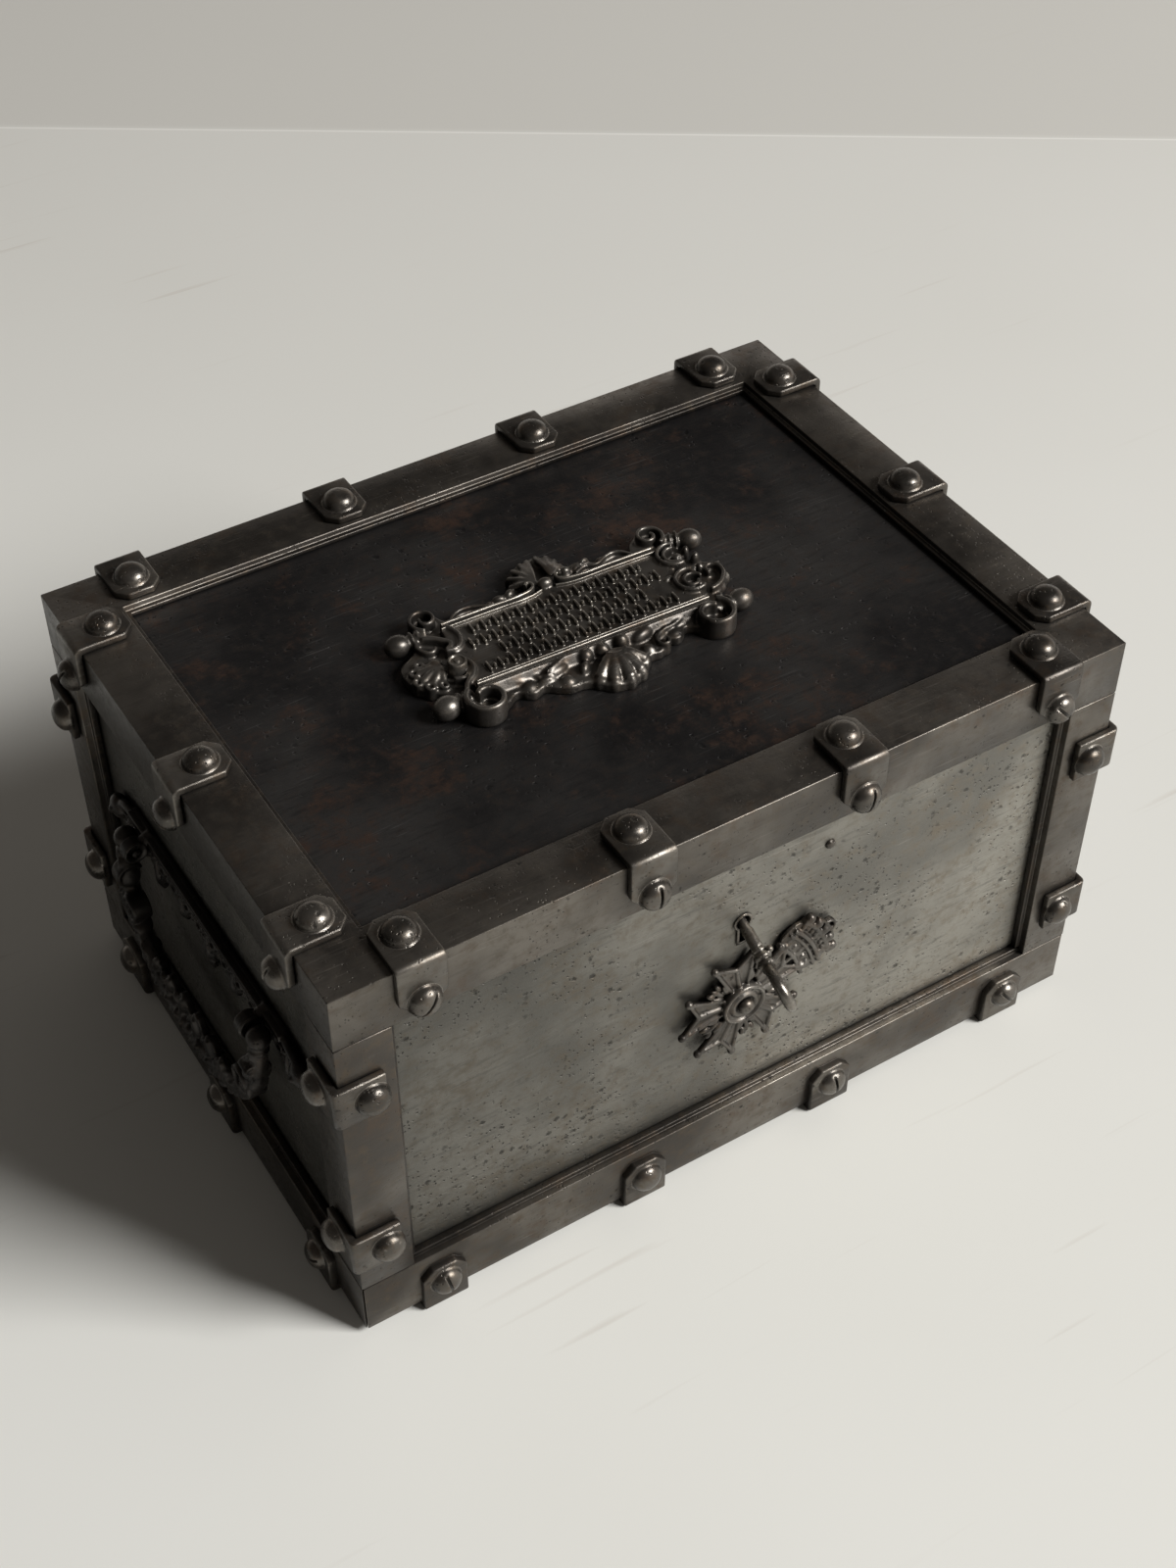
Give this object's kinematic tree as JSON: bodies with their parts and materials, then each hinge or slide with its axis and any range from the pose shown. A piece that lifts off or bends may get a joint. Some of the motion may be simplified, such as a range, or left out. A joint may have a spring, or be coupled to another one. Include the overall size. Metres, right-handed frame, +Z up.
{
  "type": "iron strongbox",
  "caption": "Small riveted iron strongbox with angle-iron edges, strap clips, a hinged lid with a cast plate, side bail handles, a keyhole cover and a key.",
  "frame": {"origin": "centre of the overall box at its foot, on the surface that the strap feet stand on", "axes": "+X along the front to the right, -Y towards the front with the keyhole, +Z up"},
  "size_m": [0.28, 0.216, 0.1553],
  "materials": {
    "plate_iron": "pitted, scratched dark iron",
    "lid_iron": "blue-black, fine scratches",
    "frame_iron": "brown-black, worn bright at the edges",
    "clip_iron": "brown-black, worn bright at the edges",
    "cast_iron": "dark casting, bright on the high points",
    "bright_iron": "worn steel"
  },
  "bodies": {
    "chest": {"back_panel": "plate_iron", "base_rail_back": "frame_iron", "base_rail_front": "frame_iron", "base_rail_left": "frame_iron", "base_rail_right": "frame_iron", "bottom_panel": "plate_iron", "corner_post_back_left": "frame_iron", "corner_post_back_right": "frame_iron", "corner_post_front_left": "frame_iron", "corner_post_front_right": "frame_iron", "cover_pivot": "bright_iron", "front_panel": "plate_iron", "handle_plate_left": "cast_iron", "handle_plate_right": "cast_iron", "hinge_leaf_box_left": "frame_iron", "hinge_leaf_box_right": "frame_iron", "hinge_pin_left": "bright_iron", "hinge_pin_right": "bright_iron", "keyhole_rim": "bright_iron", "left_panel": "plate_iron", "lock_case": "plate_iron", "lock_rivet": "bright_iron", "post_clip_back_left_lower": "clip_iron", "post_clip_back_left_upper": "clip_iron", "post_clip_back_right_lower": "clip_iron", "post_clip_back_right_upper": "clip_iron", "post_clip_front_left_lower": "clip_iron", "post_clip_front_left_upper": "clip_iron", "post_clip_front_right_lower": "clip_iron", "post_clip_front_right_upper": "clip_iron", "right_panel": "plate_iron"},
    "lid": {"hinge_leaf_lid_left": "frame_iron", "hinge_leaf_lid_right": "frame_iron", "lid_cartouche": "cast_iron", "lid_clip_back_1": "clip_iron", "lid_clip_back_2": "clip_iron", "lid_clip_back_3": "clip_iron", "lid_clip_back_4": "clip_iron", "lid_clip_front_1": "clip_iron", "lid_clip_front_2": "clip_iron", "lid_clip_front_3": "clip_iron", "lid_clip_front_4": "clip_iron", "lid_clip_left_1": "clip_iron", "lid_clip_left_2": "clip_iron", "lid_clip_left_3": "clip_iron", "lid_clip_right_1": "clip_iron", "lid_clip_right_2": "clip_iron", "lid_clip_right_3": "clip_iron", "lid_frame": "frame_iron", "lid_panel": "lid_iron", "lid_staple": "plate_iron"},
    "key": {"key": "bright_iron"},
    "keyhole_cover": {"keyhole_cover": "cast_iron"},
    "lock_bolt": {"lock_bolt": "bright_iron"},
    "bail_left": {"bail_left": "cast_iron"},
    "bail_right": {"bail_right": "cast_iron"}
  },
  "joints": [
    {"name": "lid_hinge", "type": "hinge", "parent": "chest", "child": "lid", "pos_m": [0, 0.10597, 0.1298], "axis": [-1, 0, 0], "range_deg": [0, 100]},
    {"name": "key_turn", "type": "hinge", "parent": "chest", "child": "key", "pos_m": [0.0008, -0.07943, 0.09862], "axis": [0, -0.91, -0.4147], "range_deg": [-24, 156]},
    {"name": "bolt_slide", "type": "slide", "parent": "chest", "child": "lock_bolt", "axis": [-1, 0, 0], "range_m": [-0.00107, 0.00693]},
    {"name": "cover_turn", "type": "hinge", "parent": "chest", "child": "keyhole_cover", "pos_m": [0.0008, -0.07943, 0.0665], "axis": [0, -1, 0], "range_deg": [-270, 36]},
    {"name": "bail_left_swing", "type": "hinge", "parent": "chest", "child": "bail_left", "pos_m": [-0.1325, 0.00917, 0.0885], "axis": [0, 1, 0], "range_deg": [0, 95]},
    {"name": "bail_right_swing", "type": "hinge", "parent": "chest", "child": "bail_right", "pos_m": [0.1325, 0.00917, 0.0885], "axis": [0, -1, 0], "range_deg": [0, 95]}
  ],
  "couplings": [
    {"joint": "key_turn", "follows": "bolt_slide", "rad_per_m": 392.77}
  ]
}
